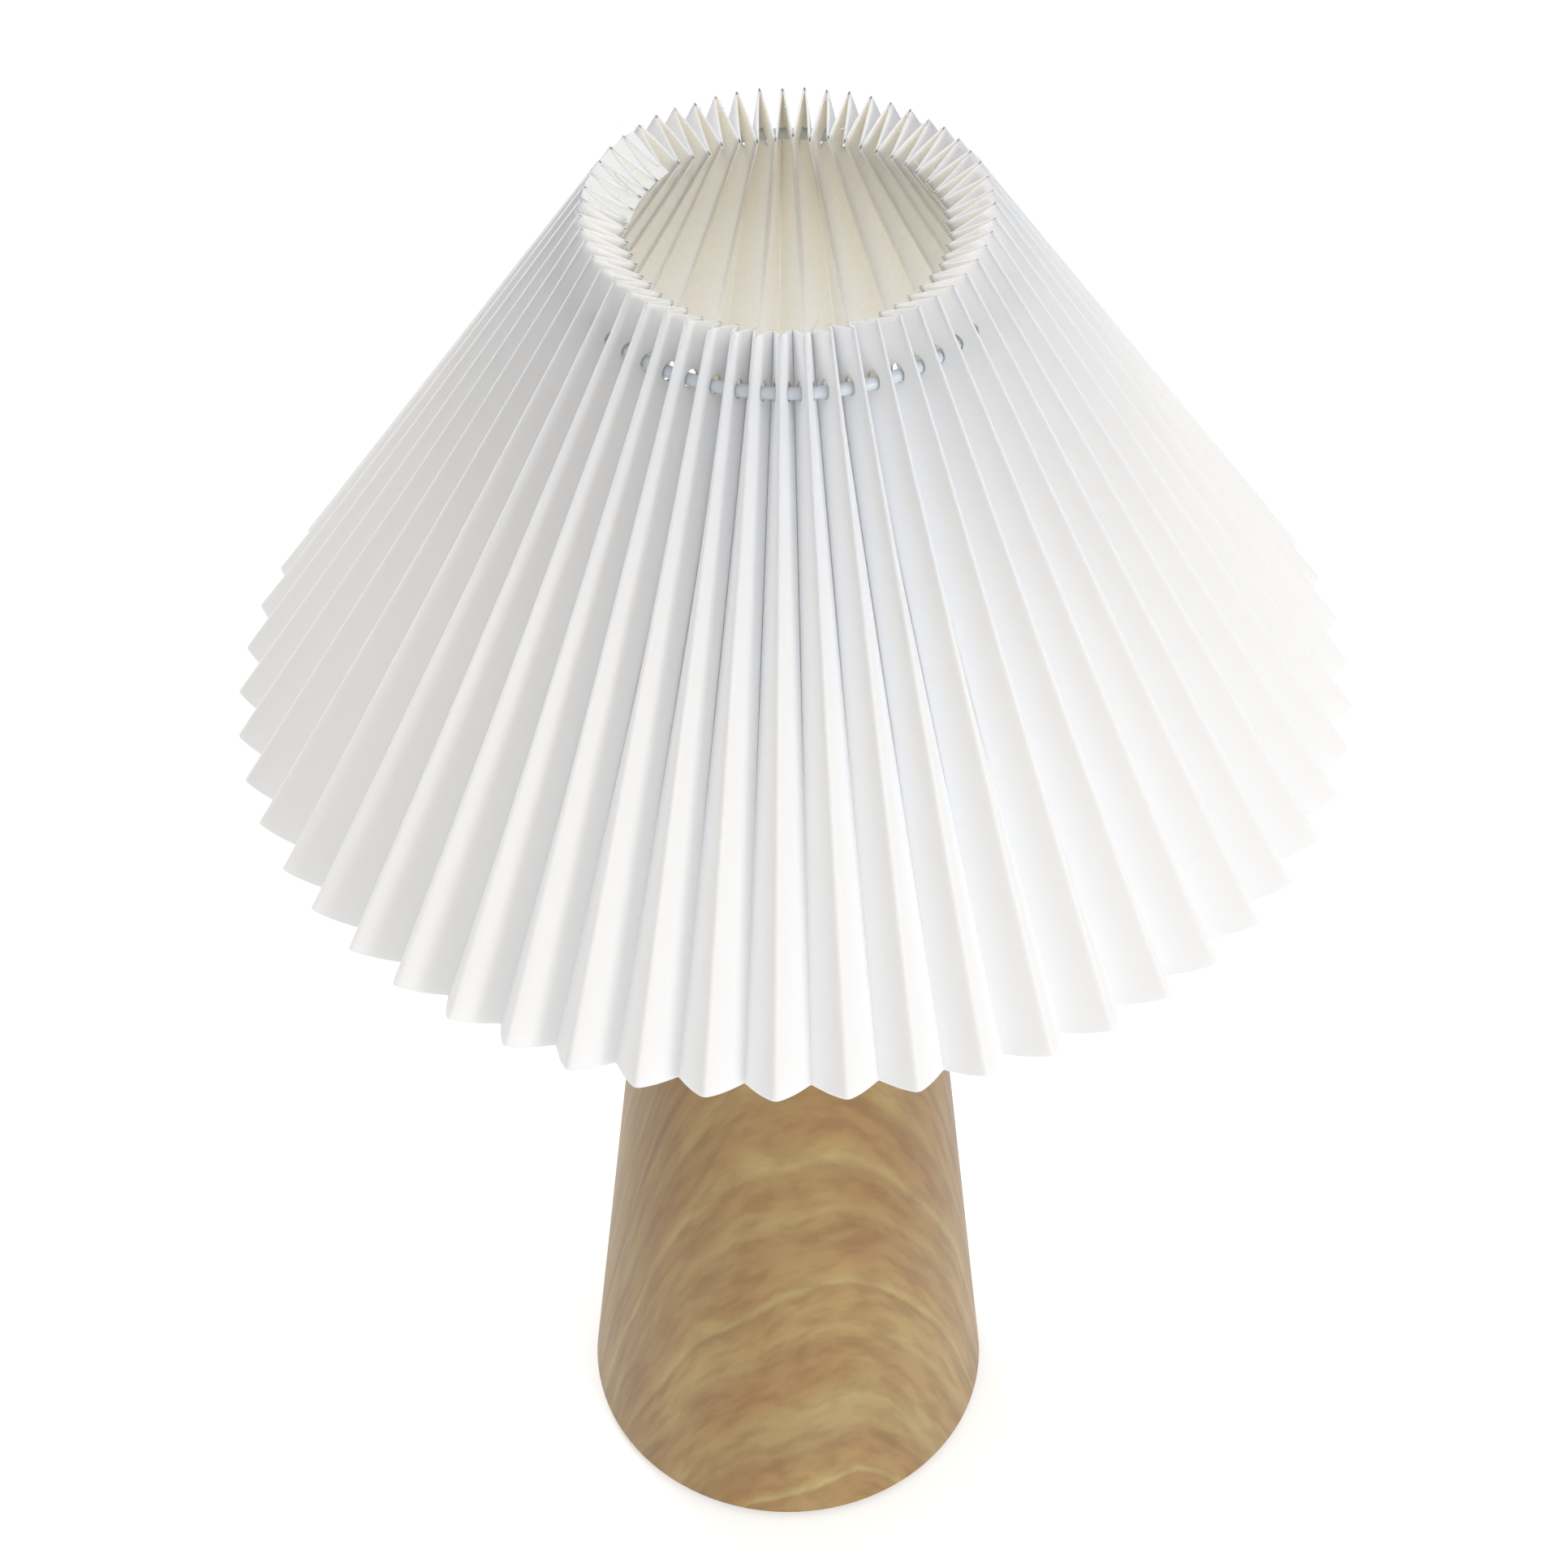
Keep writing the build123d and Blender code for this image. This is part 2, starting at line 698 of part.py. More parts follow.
with BuildPart() as arm:
    with BuildLine(Plane.XZ):
        FilletPolyline(
            (foot_start, foot_height),
            (carrier_radius, foot_height),
            rod_top,
            radius=arm_elbow_radius,
        )
    with BuildSketch(Plane.YZ.offset(foot_start)):
        with Locations((0, foot_height)):
            Circle(arm_radius)
    sweep()
    with BuildSketch(Plane.XY.offset(carrier_top)):
        Circle(carrier_radius + 2 * arm_radius)
    extrude(amount=-2 * arm_radius, mode=Mode.SUBTRACT)
    with BuildSketch(Plane.XZ):
        with BuildLine():
            Polyline(
                (rod_top[0] - blade_width / 4, blade_root - 2 * arm_radius),
                (rod_top[0] + blade_width / 4, blade_root - 2 * arm_radius),
                (lip_radius, ring_height - 2 * seat_radius),
                (lip_radius, ring_height - seat_radius / 2),
                (ring_radius, ring_height - seat_radius / 2),
                (ring_radius - seat_radius - blade_lip, blade_top),
                (lip_radius - blade_width, blade_top - blade_width / 2),
                close=True,
            )
        make_face()
        with Locations((ring_radius, ring_height)):
            Circle(seat_radius, mode=Mode.SUBTRACT)
    extrude(amount=blade_thickness / 2, both=True)

arm_places = [Location((0, 0, 0), (0, 0, degrees(fold_azimuth(p)) - 90)) for p in arm_pleats]
with BuildPart() as carrier_arms:
    with Locations(*arm_places):
        add(arm.part)
save(carrier_arms, "carrier_arms")
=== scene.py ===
import bpy
import numpy as np
from mathutils import Matrix, Vector


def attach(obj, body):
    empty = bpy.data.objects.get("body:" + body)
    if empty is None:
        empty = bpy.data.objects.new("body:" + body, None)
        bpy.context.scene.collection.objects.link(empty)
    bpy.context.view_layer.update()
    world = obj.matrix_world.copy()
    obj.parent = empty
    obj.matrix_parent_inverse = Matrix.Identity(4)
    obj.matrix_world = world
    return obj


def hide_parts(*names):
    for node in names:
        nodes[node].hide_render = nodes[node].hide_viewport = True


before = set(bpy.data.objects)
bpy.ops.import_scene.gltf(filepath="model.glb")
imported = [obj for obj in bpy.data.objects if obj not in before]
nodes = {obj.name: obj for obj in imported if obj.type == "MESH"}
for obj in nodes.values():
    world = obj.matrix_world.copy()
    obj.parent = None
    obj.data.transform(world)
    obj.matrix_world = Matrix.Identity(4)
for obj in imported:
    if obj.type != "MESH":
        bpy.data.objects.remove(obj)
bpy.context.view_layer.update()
MM = 0.001

# ---------------------------------------------------------------- pleated sheet
# The shade is one long strip of white cotton twill laminated on a cream paper-backed film,
# knife pleated into 55 folds and closed in a cone by a lap seam. Pressed folds stay straight,
# so each flap twists a little between the narrow top of the shade and its wide foot.
PLEATS = 55
FLAPS = 2 * PLEATS
HALF_PITCH = np.pi / PLEATS
FRONT_AZIMUTH = np.radians(-2.49)
SEAM_AZIMUTH = FRONT_AZIMUTH + 38 * 2 * HALF_PITCH
OUTER_FOOT = np.array((125.0, 275.0)) * MM
OUTER_TOP = np.array((41.2, 401.0)) * MM
INNER_FOOT = np.array((117.1, 270.2)) * MM
INNER_TOP = np.array((31.7, 394.9)) * MM
LEAN = np.radians(0.635)
RING_HEIGHT = 388.6 * MM
REAR_SAG = 4.5 * MM
FLAP_BOW = 0.35 * MM
FLAP_WIDTH = 11.7 * MM
SLANT = np.hypot(*(OUTER_TOP - OUTER_FOOT))
SHEET_THICKNESS = 0.45 * MM
OUTER_ROUNDING = 0.025
INNER_ROUNDING = 0.02
LAP_START = 0.40
LAP_END = 0.70
LAP_GAP = 1.0 * MM
RING_DROP = 11.7 * MM
RING_SHARE = 1 - RING_DROP / SLANT
HOLE_COLUMNS = (0.35, 0.43, 0.50, 0.57, 0.65)
HOLE_ROWS = np.array((-1.6, -0.6, 0.45, 1.5, 2.5)) * MM
HOLE_RADII = np.array((1.75, 1.95)) * MM
HOLE_SHADE_WIDTH = 0.35 * MM
FOLD_SPREAD = 0.045
DEPTH_SPREAD = 0.03
EDGE_SPREAD = 0.22 * MM
EDGE_POWER = 12
ROW_GAP = 0.012

# pleating isn't even: each fold drifts in place, in depth and at its cut edge, at the foot and at
# the top, and the two folds past the last one repeat the first two
folds = np.arange(FLAPS + 2)
chance = np.random.RandomState(5)
fold_drift = chance.normal(0, FOLD_SPREAD, (2, FLAPS + 2))
depth_drift = chance.normal(0, DEPTH_SPREAD, (2, FLAPS + 2))
edge_drift = chance.normal(0, EDGE_SPREAD, (2, FLAPS + 2))
for drift in (fold_drift, depth_drift, edge_drift):
    drift[:, FLAPS:] = drift[:, :2]


def along_folds(values, fold, share):
    """A value given at the foot and the top of each fold, straight between folds and rims."""
    foot = np.interp(fold, folds, values[0])
    top = np.interp(fold, folds, values[1])
    return foot + (top - foot) * share


def pleat_wave(fold):
    """0 on an outer fold and 1 on an inner one: a triangle wave with each tip rounded."""
    swing = np.sin(np.pi * (fold - 0.5))
    reach = 1 - np.where(swing < 0, OUTER_ROUNDING, INNER_ROUNDING)
    return 0.5 + 0.5 * np.arcsin(reach * swing) / np.arcsin(reach)


def hang(radius, azimuth, height):
    """Points of the shade, which leans a little to one side on its ring."""
    x = radius * np.sin(azimuth)
    rise = height - RING_HEIGHT
    leant = x * np.cos(LEAN) - rise * np.sin(LEAN)
    raised = RING_HEIGHT + x * np.sin(LEAN) + rise * np.cos(LEAN)
    return np.stack((leant, -radius * np.cos(azimuth), raised), -1)


def sheet_point(fold, share, lift=0.0):
    """Point of the sheet at a fold number and a share of the way up.

    The outer and the inner fold line are straight in the radial plane. The pleat wave mixes
    them, each flap bows out a little at its foot, and near both rims the cut edge drifts up or
    down. The fold number turns the point round Z, lift moves it round off its flap, and the foot
    hangs lower towards the rear.
    """
    outer = OUTER_FOOT + (OUTER_TOP - OUTER_FOOT) * share[..., None]
    inner = INNER_FOOT + (INNER_TOP - INNER_FOOT) * share[..., None]
    wave = pleat_wave(fold) * (1 + along_folds(depth_drift, fold, share))
    profile = outer + (inner - outer) * wave[..., None]
    rim = along_folds(edge_drift, fold, share) * np.abs(2 * share - 1) ** EDGE_POWER
    radius = profile[..., 0] + FLAP_BOW * np.sin(np.pi * (fold % 1)) * (1 - share)
    height = profile[..., 1] + rim
    depth = np.hypot(*np.moveaxis(outer - inner, -1, 0))
    middle = 0.5 * (outer + inner)[..., 0]
    flap_angle = np.arctan2(HALF_PITCH * middle, depth)
    tucked = np.clip(2 - fold, 0, 1)
    turn = -tucked * LAP_GAP / np.cos(flap_angle) / middle
    azimuth = SEAM_AZIMUTH + HALF_PITCH * (fold + along_folds(fold_drift, fold, share))
    azimuth = azimuth + turn + lift / np.cos(flap_angle) / middle
    height = height - REAR_SAG * np.clip(-np.cos(azimuth), 0, 1) ** 2 * (1 - share)
    return hang(radius, azimuth, height)


def grid_faces(rows, columns):
    """Corner numbers of the quads of a grid of rows by columns points."""
    corner = np.arange(rows * columns).reshape(rows, columns)
    sides = (corner[:-1, :-1], corner[:-1, 1:], corner[1:, 1:], corner[1:, :-1])
    return np.stack([side.ravel() for side in sides], 1)


def mesh_piece(name, points, faces, uv=None):
    """New smooth mesh object at the origin, with unused points dropped."""
    used, corner = np.unique(faces, return_inverse=True)
    mesh = bpy.data.meshes.new(name)
    mesh.from_pydata(points.reshape(-1, 3)[used], [], corner.reshape(faces.shape).tolist())
    if uv is not None:
        layer = mesh.uv_layers.new(name="cloth")
        layer.data.foreach_set("uv", uv.reshape(-1, 2)[faces.ravel()].ravel())
    mesh.shade_smooth()
    piece = bpy.data.objects.new(name, mesh)
    bpy.context.scene.collection.objects.link(piece)
    return piece


def thicken(piece, thickness):
    """Give a surface its thickness, half of it on each side."""
    wall = piece.modifiers.new("wall", "SOLIDIFY")
    wall.thickness = thickness
    wall.offset = 0
    return wall


def linear(text):
    """Linear colour with alpha 1 from an sRGB hex value."""
    channels = np.array([int(text[i : i + 2], 16) for i in (1, 3, 5)]) / 255
    low, high = channels / 12.92, ((channels + 0.055) / 1.055) ** 2.4
    return (*np.where(channels <= 0.04045, low, high), 1.0)


def add_node(tree, kind, inputs=None, **settings):
    """Add one shader node: settings are its properties, inputs are values or links by socket."""
    made = tree.nodes.new(kind)
    for key, value in settings.items():
        setattr(made, key, value)
    for socket, value in (inputs or {}).items():
        if isinstance(value, bpy.types.NodeSocket):
            tree.links.new(value, made.inputs[socket])
        else:
            made.inputs[socket].default_value = value
    return made


def new_finish(name, **inputs):
    """Principled material; returns it with its node tree and shader.

    The inputs are the shader's sockets, with an underscore for each blank in a name.
    """
    finish = bpy.data.materials.new(name)
    finish.use_nodes = True
    shader = finish.node_tree.nodes["Principled BSDF"]
    for socket, value in inputs.items():
        shader.inputs[socket.replace("_", " ")].default_value = value
    return finish, finish.node_tree, shader


def uneven_skin(tree, shader, size, gloss, depth):
    """Noise of a size in metres moves the roughness between two values and lifts the skin."""
    place = add_node(tree, "ShaderNodeTexCoord")
    grains = add_node(
        tree,
        "ShaderNodeTexNoise",
        {"Vector": place.outputs["Object"], "Scale": 1 / size, "Detail": 3.0},
    )
    rough = add_node(
        tree,
        "ShaderNodeMapRange",
        {
            "Value": grains.outputs["Fac"],
            "From Min": 0.3,
            "From Max": 0.7,
            "To Min": gloss[0],
            "To Max": gloss[1],
        },
    )
    skin = add_node(
        tree,
        "ShaderNodeBump",
        {"Height": grains.outputs["Fac"], "Strength": 0.3, "Distance": depth},
    )
    tree.links.new(rough.outputs["Result"], shader.inputs["Roughness"])
    tree.links.new(skin.outputs["Normal"], shader.inputs["Normal"])
    return grains


def ramp_stops(ramp, stops):
    """Set a colour ramp's stops from (position, sRGB hex) pairs."""
    elements = ramp.color_ramp.elements
    while len(elements) < len(stops):
        elements.new(0.5)
    for element, (position, colour) in zip(elements, stops):
        element.position = position
        element.color = linear(colour)


# the grid is closer at the rounded folds and round the holes
flap_columns = np.array((0, 0.035, 0.09, 0.20, *HOLE_COLUMNS, 0.80, 0.91, 0.965))
strip_columns = (np.arange(FLAPS + 1)[:, None] + flap_columns).ravel()
strip_columns = strip_columns[(strip_columns >= LAP_START) & (strip_columns <= FLAPS + LAP_END)]
strip_columns = np.union1d(strip_columns, (LAP_START, FLAPS + LAP_END))
ring_rows = RING_SHARE + HOLE_ROWS / SLANT
hole_middle = ring_rows[2]
low_rows = np.linspace(0, ring_rows[0] - ROW_GAP, 24)
high_rows = np.linspace(ring_rows[-1] + ROW_GAP, 1, 4)
strip_rows = np.concatenate((low_rows, ring_rows, high_rows))

fold_grid, share_grid = np.meshgrid(strip_columns, strip_rows)
# the points round a hole are put on its outline, and the faces inside it are left out
flap_share = fold_grid % 1.0
hole_core = np.isin(np.round(flap_share, 3), HOLE_COLUMNS)
hole_core &= np.isin(share_grid, ring_rows)
across = np.where(hole_core, (flap_share - 0.5) * FLAP_WIDTH, 0)
up = np.where(hole_core, (share_grid - hole_middle) * SLANT, 0)
reach = np.hypot(across / HOLE_RADII[0], up / HOLE_RADII[1])
edge_of_hole = hole_core & (
    np.isin(np.round(flap_share, 3), (HOLE_COLUMNS[0], HOLE_COLUMNS[-1]))
    | np.isin(share_grid, (ring_rows[0], ring_rows[-1]))
)
snap = np.where(edge_of_hole, 1 / np.maximum(reach, 1e-6), 1.0)
fold_grid = fold_grid + across * (snap - 1) / FLAP_WIDTH
share_grid = share_grid + up * (snap - 1) / SLANT
inside_hole = (hole_core & ~edge_of_hole).ravel()
sheet_faces = grid_faces(*fold_grid.shape)
sheet_faces = sheet_faces[~inside_hole[sheet_faces].any(1)]
sheet_points = sheet_point(fold_grid, share_grid)
strip_uv = np.stack((fold_grid * FLAP_WIDTH, share_grid * SLANT), -1)
pleated_sheet = mesh_piece("pleated_sheet", sheet_points, sheet_faces, strip_uv)
wall = thicken(pleated_sheet, SHEET_THICKNESS)
wall.material_offset = 1
wall.material_offset_rim = 0
# the cut edges, which belong to one face only, are shaded crisp
cloth = pleated_sheet.data
edge_used = np.zeros(len(cloth.loops), dtype=np.int32)
cloth.loops.foreach_get("edge_index", edge_used)
cut_edge = np.bincount(edge_used, minlength=len(cloth.edges)) == 1
cloth.attributes.new("sharp_edge", "BOOLEAN", "EDGE").data.foreach_set("value", cut_edge)

# White cotton twill: matt and softly lit through. Its diagonal ribs, taken to be about 0.4 mm
# apart, are drawn 0.8 mm apart so that they show.
RIB = 0.8 * MM
twill, tree, shader = new_finish(
    "white_cotton_twill",
    Roughness=0.85,
    Subsurface_Weight=1.0,
    Subsurface_Radius=(1.0, 0.97, 0.9),
    Subsurface_Scale=2.0 * MM,
)
cloth_map = add_node(tree, "ShaderNodeUVMap", uv_map="cloth")
ribs = add_node(
    tree,
    "ShaderNodeTexWave",
    {
        "Vector": cloth_map.outputs["UV"],
        "Scale": 2 * np.pi / (10 * 2**0.5 * RIB),
        "Distortion": 0.4,
    },
    bands_direction="DIAGONAL",
)
relief = add_node(
    tree, "ShaderNodeBump", {"Height": ribs.outputs["Fac"], "Strength": 0.12, "Distance": 0.1 * MM}
)
tree.links.new(relief.outputs["Normal"], shader.inputs["Normal"])
# a thin grey ring is painted round each punched hole for the wire: painted shade for the shade in
# the gap round the wire
to_flap = add_node(
    tree,
    "ShaderNodeVectorMath",
    {0: cloth_map.outputs["UV"], 1: (1 / FLAP_WIDTH, 1, 0), 2: (0, -hole_middle * SLANT, 0)},
    operation="MULTIPLY_ADD",
)
split = add_node(tree, "ShaderNodeSeparateXYZ", {"Vector": to_flap.outputs[0]})
flap_part = add_node(tree, "ShaderNodeMath", {0: split.outputs["X"]}, operation="FRACT")
off_centre = add_node(
    tree,
    "ShaderNodeMath",
    {0: flap_part.outputs[0], 1: FLAP_WIDTH, 2: -0.5 * FLAP_WIDTH},
    operation="MULTIPLY_ADD",
)
from_hole = add_node(
    tree, "ShaderNodeCombineXYZ", {"X": off_centre.outputs[0], "Y": split.outputs["Y"]}
)
hole_reach = add_node(tree, "ShaderNodeVectorMath", {0: from_hole.outputs[0]}, operation="LENGTH")
edge = add_node(
    tree,
    "ShaderNodeMapRange",
    {
        "Value": hole_reach.outputs["Value"],
        "From Min": HOLE_RADII[0],
        "From Max": HOLE_RADII[0] + HOLE_SHADE_WIDTH,
    },
)
white = add_node(
    tree,
    "ShaderNodeMix",
    {"Factor": edge.outputs["Result"], 6: linear("#A9A9A6"), 7: linear("#F5F7FA")},
    data_type="RGBA",
)
tree.links.new(white.outputs[2], shader.inputs["Base Color"])

# The paper film behind the twill: cream with faint clouds of pulp, smoother, and softly lit
# through.
film, tree, shader = new_finish(
    "cream_paper_film",
    Subsurface_Weight=1.0,
    Subsurface_Radius=(1.0, 0.93, 0.8),
    Subsurface_Scale=2.0 * MM,
)
pulp = uneven_skin(tree, shader, 2.5 * MM, (0.5, 0.7), 0.04 * MM)
cream = add_node(tree, "ShaderNodeValToRGB", {"Fac": pulp.outputs["Fac"]})
ramp_stops(cream, ((0.3, "#FAF4E6"), (0.7, "#FDFAF2")))
tree.links.new(cream.outputs["Color"], shader.inputs["Base Color"])

pleated_sheet.data.materials.append(twill)
pleated_sheet.data.materials.append(film)
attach(pleated_sheet, "shade")
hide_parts("pleated_shade")

# ---------------------------------------------------------------- frayed threads
# The strip's cut edges aren't hemmed, so short ends of cotton yarn stand out of the top rim. Most
# of them come loose at the outer folds.
THREADS = 210
THREAD_RADIUS = 0.09 * MM
THREAD_SIDES = 4
THREAD_POINTS = 6
AT_OUTER_FOLDS = 0.6
FOLD_REACH = 0.12
STRAY = 0.75
CURL = 0.5
THREAD_LENGTHS_MM = (0.5, 2.0)
ROOT_SHARE, NEXT_SHARE = 0.998, 0.999
chance = np.random.RandomState(11)
fold_at = np.where(
    chance.rand(THREADS) < AT_OUTER_FOLDS,
    2 * chance.randint(1, PLEATS, THREADS) + chance.normal(0, FOLD_REACH, THREADS),
    chance.uniform(1.2, FLAPS - 0.2, THREADS),
)
# each thread leaves the rim along the sheet with a stray of its own, and bends as the square of
# the way along it
root = sheet_point(fold_at, np.full(THREADS, ROOT_SHARE))
along = sheet_point(fold_at, np.full(THREADS, NEXT_SHARE)) - root
along = along / np.linalg.norm(along, axis=1)[:, None]
way = along + chance.normal(0, STRAY, (THREADS, 3))
way = way / np.linalg.norm(way, axis=1)[:, None]
curl = np.cross(way, chance.normal(0, 1, (THREADS, 3))) * CURL
length = chance.uniform(*THREAD_LENGTHS_MM, THREADS)[:, None, None] * MM
step = np.linspace(0, 1, THREAD_POINTS)[None, :, None]
spine = root[:, None] + length * (way[:, None] * step + curl[:, None] * step**2)
# a square section is carried along each spine, with its sides at right angles to the thread
side = np.cross(way, (0.3, 0.5, 0.8))
side = side / np.linalg.norm(side, axis=1)[:, None]
other = np.cross(way, side)
turn = np.arange(THREAD_SIDES) * 2 * np.pi / THREAD_SIDES
around = side[:, None] * np.cos(turn)[:, None] + other[:, None] * np.sin(turn)[:, None]
thread_points = spine[:, :, None] + THREAD_RADIUS * around[:, None]
first = np.arange(THREADS)[:, None, None] * THREAD_POINTS * THREAD_SIDES
level = first + np.arange(THREAD_POINTS - 1)[None, :, None] * THREAD_SIDES
above = level + THREAD_SIDES
corner = np.arange(THREAD_SIDES)[None, None]
after = (corner + 1) % THREAD_SIDES
quads = np.stack((level + corner, level + after, above + after, above + corner), -1)
last = first + (THREAD_POINTS - 1) * THREAD_SIDES
thread_faces = np.concatenate(
    (quads.reshape(-1, 4), first[:, 0] + corner[0, :, ::-1], last[:, 0] + corner[0])
)
frayed_threads = mesh_piece("frayed_threads", thread_points, thread_faces)

# Loose cotton yarn: dull and fuzzy, a little warmer than the twill.
yarn, tree, shader = new_finish(
    "loose_cotton_yarn", Base_Color=linear("#F1F0EC"), Sheen_Weight=0.3
)
uneven_skin(tree, shader, 0.4 * MM, (0.8, 0.95), 0.02 * MM)
frayed_threads.data.materials.append(yarn)
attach(frayed_threads, "shade")

# ---------------------------------------------------------------- lap seam tape
# A strip of clear tape holds the lap together between its two layers, from the foot to just
# under the rim, and is cut out where the wire runs through.
TAPE_THICKNESS = 0.08 * MM
TAPE_END = 0.996
WIRE_ROOM = 1.9 * MM
tape_rows = np.linspace(0.0, TAPE_END, 60)
tape_columns = np.linspace(LAP_START, LAP_END, 8)
fold_grid, share_grid = np.meshgrid(tape_columns + FLAPS, tape_rows)
tape_points = sheet_point(fold_grid, share_grid, lift=-0.5 * LAP_GAP)
tape_faces = grid_faces(*fold_grid.shape)
off_wire = np.abs(share_grid.ravel() - RING_SHARE) * SLANT > WIRE_ROOM
seam_tape = mesh_piece("lap_tape", tape_points, tape_faces[off_wire[tape_faces].all(1)])
thicken(seam_tape, TAPE_THICKNESS)

# Clear tape: mostly seen through, with a gloss that is uneven where it was pressed down.
clear_tape, tree, shader = new_finish(
    "clear_tape", Base_Color=linear("#F4F5F4"), IOR=1.49, Alpha=0.35
)
uneven_skin(tree, shader, 8 * MM, (0.10, 0.22), 0.05 * MM)
seam_tape.data.materials.append(clear_tape)
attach(seam_tape, "shade")
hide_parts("seam_tape")

# ---------------------------------------------------------------- tape over the rim
# The tape's end is stuck across the rim over the seam. It closes the gaps of about five folds as
# a thin creased film between the cut edges, and is crumpled at the end that is nearer the front.
FILM_START, FILM_END = np.radians((-131.0, -96.0))
FILM_DROP = 0.25 * MM
FILM_SAG = 0.4 * MM
FILM_THICKNESS = 0.06 * MM
CREASES = 9
CREASE_SLANT = 6
CREASE_TURNS = (8, 30)
CREASE_RISES_MM = (0.03, 0.12)
CRUMPLED = np.radians(5)
azimuth, reach = np.meshgrid(np.linspace(FILM_START, FILM_END, 190), np.linspace(0, 1, 50))
middle_top = OUTER_TOP + (INNER_TOP - OUTER_TOP) * reach[..., None]
chance = np.random.RandomState(31)
wrinkle = np.zeros_like(reach)
# each crease is a narrow ridge, the sixth power of one minus a folded sine, at its own slant
for _ in range(CREASES):
    fan, along_rim = chance.normal(0, CREASE_SLANT), chance.uniform(*CREASE_TURNS)
    start = chance.uniform(0, 2 * np.pi)
    ridge = 1 - np.abs(np.sin(0.5 * (fan * reach + along_rim * azimuth * 2 + start)))
    wrinkle += chance.uniform(*CREASE_RISES_MM) * MM * ridge**6
crumple = np.clip((azimuth - FILM_END) / CRUMPLED + 1, 0, 1)
# at the crumpled end they stand up to three times as high, in waves across the rim
wrinkle *= 1 + 2 * crumple * np.sin(7 * reach + 2) ** 2
film_height = middle_top[..., 1] - FILM_DROP + wrinkle - FILM_SAG * np.sin(np.pi * reach)
film_points = hang(middle_top[..., 0], azimuth, film_height)
rim_film = mesh_piece("tape_over_rim", film_points, grid_faces(*azimuth.shape)[:, ::-1])
thicken(rim_film, FILM_THICKNESS)

# Milky tape: about a fifth of what is behind it shows through, and its creases have a soft gloss.
stuck_tape, tree, shader = new_finish(
    "milky_tape", Base_Color=linear("#FAFBFA"), IOR=1.49, Alpha=0.78
)
uneven_skin(tree, shader, 6 * MM, (0.28, 0.4), 0.05 * MM)
rim_film.data.materials.append(stuck_tape)
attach(rim_film, "shade")

# ---------------------------------------------------------------- wire ring, carrier and arms
# A ring of drawn steel wire runs through the flaps, and three bent wires with flat blades hold it
# over the carrier ring. They are spot welded and dipped in white enamel.


def dress(finish, *names):
    """Give pieces of the frame this finish and no other."""
    for name in names:
        nodes[name].data.materials.clear()
        nodes[name].data.materials.append(finish)


# White enamel: a smooth skin with a soft gloss. Its colour is painted shade, a cool grey darker
# than the white enamel, because the wire lies in the shade of the flaps.
enamel, tree, shader = new_finish("shaded_white_wire_enamel", Base_Color=linear("#D3D9DD"))
uneven_skin(tree, shader, 1.5 * MM, (0.28, 0.45), 0.03 * MM)
dress(enamel, "shade_ring", "carrier_ring", "carrier_arms")

# ---------------------------------------------------------------- wooden base
# Turned from one block and finished with satin lacquer. The pith lies 23 mm behind the base's
# axis, so the cone cuts the year rings in round arches at the front and in straight lines at
# the sides.
PITH = np.array((-3.0, 23.0, 0.0)) * MM
RING_WIDTH = 2.7 * MM
RING_SPREAD = 0.9
MARK_ACROSS = 0.55 * MM
MARK_ROUND = 9.0 * MM
MARK_UP = 30.0 * MM
MARK_STRENGTH = 0.75
GRAIN_STRETCH = (1, 1, 0.35)
WANDERS = ((20.0, 3.5 * MM), (70.0, 0.5 * MM))
PATCH_SCALE = 38.0
# painted shade over the top and the sides of the base: full within the first distance from the
# pith, gone at the second
PITH_SHADE_FULL, PITH_SHADE_GONE = 40 * MM, 78 * MM

# Light wood under satin lacquer: a low, soft gloss over the grain.
wood, tree, shader = new_finish(
    "lacquered_light_wood",
    Roughness=0.42,
    Specular_IOR_Level=0.35,
    Coat_Weight=0.08,
    Coat_Roughness=0.35,
)
place = add_node(tree, "ShaderNodeTexCoord")
long_grain = add_node(
    tree, "ShaderNodeMapping", {"Vector": place.outputs["Object"], "Scale": GRAIN_STRETCH}
)
bent = place.outputs["Object"]
for scale, amount in WANDERS:
    noise = add_node(
        tree,
        "ShaderNodeTexNoise",
        {"Vector": long_grain.outputs["Vector"], "Scale": scale, "Detail": 1.0},
    )
    push = add_node(
        tree,
        "ShaderNodeVectorMath",
        {0: noise.outputs["Color"], 1: (amount,) * 3, 2: (-0.5 * amount,) * 3},
        operation="MULTIPLY_ADD",
    )
    bent = add_node(
        tree, "ShaderNodeVectorMath", {0: bent, 1: push.outputs[0]}, operation="ADD"
    ).outputs[0]

# distance from the pith, counted in year rings that aren't all as wide
across_grain = add_node(
    tree,
    "ShaderNodeVectorMath",
    {0: bent, 1: (1, 1, 0), 2: tuple(-PITH)},
    operation="MULTIPLY_ADD",
)
distance = add_node(tree, "ShaderNodeVectorMath", {0: across_grain.outputs[0]}, operation="LENGTH")
even_rings = add_node(
    tree, "ShaderNodeMath", {0: distance.outputs["Value"], 1: 1 / RING_WIDTH}, operation="MULTIPLY"
)
width = add_node(
    tree,
    "ShaderNodeTexNoise",
    {"W": even_rings.outputs[0], "Scale": 0.45, "Detail": 1.0},
    noise_dimensions="1D",
)
rings = add_node(
    tree,
    "ShaderNodeMath",
    {0: width.outputs["Fac"], 1: 2 * RING_SPREAD, 2: even_rings.outputs[0]},
    operation="MULTIPLY_ADD",
)
part_ring = add_node(tree, "ShaderNodeMath", {0: rings.outputs[0]}, operation="FRACT")
grain = add_node(tree, "ShaderNodeValToRGB", {"Fac": part_ring.outputs[0]})
